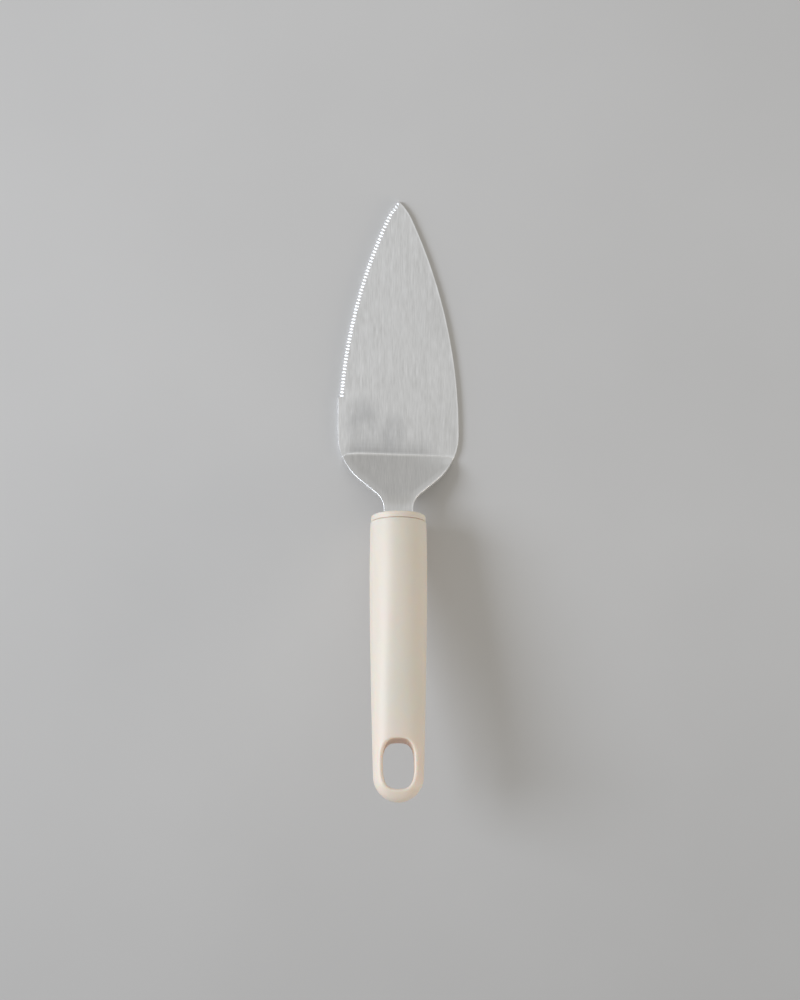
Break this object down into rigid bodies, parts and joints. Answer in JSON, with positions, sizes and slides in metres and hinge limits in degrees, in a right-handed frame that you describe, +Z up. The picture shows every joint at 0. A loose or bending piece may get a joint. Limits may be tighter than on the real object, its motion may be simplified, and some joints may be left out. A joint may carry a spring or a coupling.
{
  "type": "cake server",
  "caption": "Cake server with a pointed steel blade serrated along one side, a bent shoulder, and a tilted hollow plastic handle that ends in a hanging loop.",
  "frame": {"origin": "middle of the bounding box in X and Y, on the plane of the blade's flat underside", "axes": "+Y from the hanging loop towards the blade's tip, +Z up out of the blade's upper face, the serrated side of the blade on -X"},
  "size_m": [0.055, 0.269, 0.0512],
  "materials": {
    "steel": "satin",
    "handle_plastic": "matte",
    "core_plastic": "matte"
  },
  "bodies": {
    "root": {"blade": "steel", "front_cap": "handle_plastic", "core_upper": "core_plastic", "core_lower": "core_plastic", "handle": "handle_plastic"}
  },
  "joints": []
}
